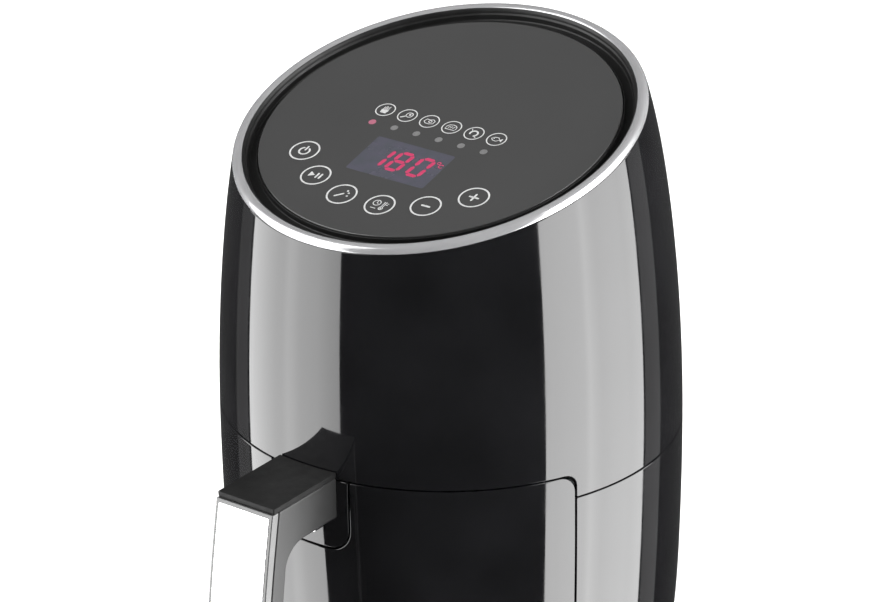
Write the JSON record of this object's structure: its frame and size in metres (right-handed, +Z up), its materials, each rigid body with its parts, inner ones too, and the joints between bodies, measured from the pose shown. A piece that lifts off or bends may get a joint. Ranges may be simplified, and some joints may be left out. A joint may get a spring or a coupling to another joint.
{
  "type": "hot air fryer",
  "caption": "Round-bodied hot-air fryer with a pull-out drawer and basket, an upright grip handle and a tilted round touch panel in a chrome ring.",
  "frame": {"origin": "centre of the rectangle the fryer covers on the worktop, handle included, at the plane the feet stand on", "axes": "+Z up, front and handle towards -Y, +X to the right as seen from the front"},
  "size_m": [0.25, 0.3188, 0.3441],
  "materials": {
    "black_gloss": "high gloss piano black, lightly cleaned",
    "black_plastic": "fine-textured black moulding",
    "handle_plastic": "satin dark grey moulding",
    "top_plastic": "soft matt dark plastic",
    "ring_chrome": "polished chrome plating",
    "insert_metal": "bright satin metal plate",
    "panel_glass": "dark satin control glass, printed from behind",
    "display_glass": "smoked display module",
    "light_guide": "milky light guides",
    "circuit_board": "green solder mask",
    "rubber_dark": "soft dark rubber",
    "sheet_steel": "plain galvanised sheet",
    "screw_steel": "zinc plated",
    "heater_tube": "heat-tinted stainless tube",
    "fan_metal": "stamped aluminium",
    "nonstick": "dark grey non-stick coating with fine speckle",
    "motor_steel": "pressed motor can",
    "nut_brass": "turned brass"
  },
  "bodies": {
    "housing": {"base_ring": "black_gloss", "lower_housing": "black_gloss", "upper_housing": "black_gloss", "base_plate": "black_plastic", "rubber_feet": "rubber_dark", "base_screws": "screw_steel", "housing_screws": "screw_steel", "outlet_grille": "black_plastic", "cord_gland": "black_plastic", "chrome_ring": "ring_chrome", "panel_bezel": "black_plastic", "control_glass": "panel_glass", "display_module": "display_glass", "light_guides": "light_guide", "touch_board": "circuit_board", "board_brackets": "sheet_steel", "board_screws": "screw_steel", "drawer_bay_liner": "sheet_steel", "guide_rails": "sheet_steel", "heating_chamber": "sheet_steel", "heater_coil": "heater_tube", "heater_clips": "sheet_steel", "heater_guard": "screw_steel", "temperature_sensor": "screw_steel", "thermal_cutout": "light_guide", "heat_shield": "sheet_steel", "shield_spacers": "sheet_steel", "motor_bracket": "sheet_steel", "motor": "motor_steel", "motor_screws": "screw_steel", "power_board": "circuit_board", "drawer_switch": "black_plastic"},
    "rotor": {"motor_shaft": "screw_steel", "convection_fan": "fan_metal", "cooling_fan": "black_plastic", "fan_nut": "nut_brass"},
    "drawer": {"drawer_panel": "black_gloss", "drawer_frame": "black_plastic", "frame_screws": "screw_steel", "pan": "nonstick", "basket": "nonstick", "basket_floor": "nonstick", "basket_bumpers": "rubber_dark", "basket_bracket": "screw_steel", "bracket_rivets": "screw_steel", "escutcheon": "black_gloss", "handle_shell": "handle_plastic", "handle_top_cover": "top_plastic", "handle_front_cap": "handle_plastic", "handle_insert": "insert_metal", "handle_screws": "screw_steel", "release_spring": "screw_steel"},
    "release": {"release_slider": "black_plastic", "latch_hook": "screw_steel"}
  },
  "joints": [
    {"name": "drawer_slide", "type": "slide", "parent": "housing", "child": "drawer", "axis": [0, -1, 0], "range_m": [0, 0.215]},
    {"name": "fan_spin", "type": "hinge", "parent": "housing", "child": "rotor", "pos_m": [0, 0.03055, 0.18], "axis": [0, 0, 1], "continuous": true},
    {"name": "release_slide", "type": "slide", "parent": "drawer", "child": "release", "axis": [0, -1, 0], "range_m": [0, 0.005], "stiffness_N_per_m": 500, "springref_m": -0.004, "deforming": ["release_spring"]}
  ]
}
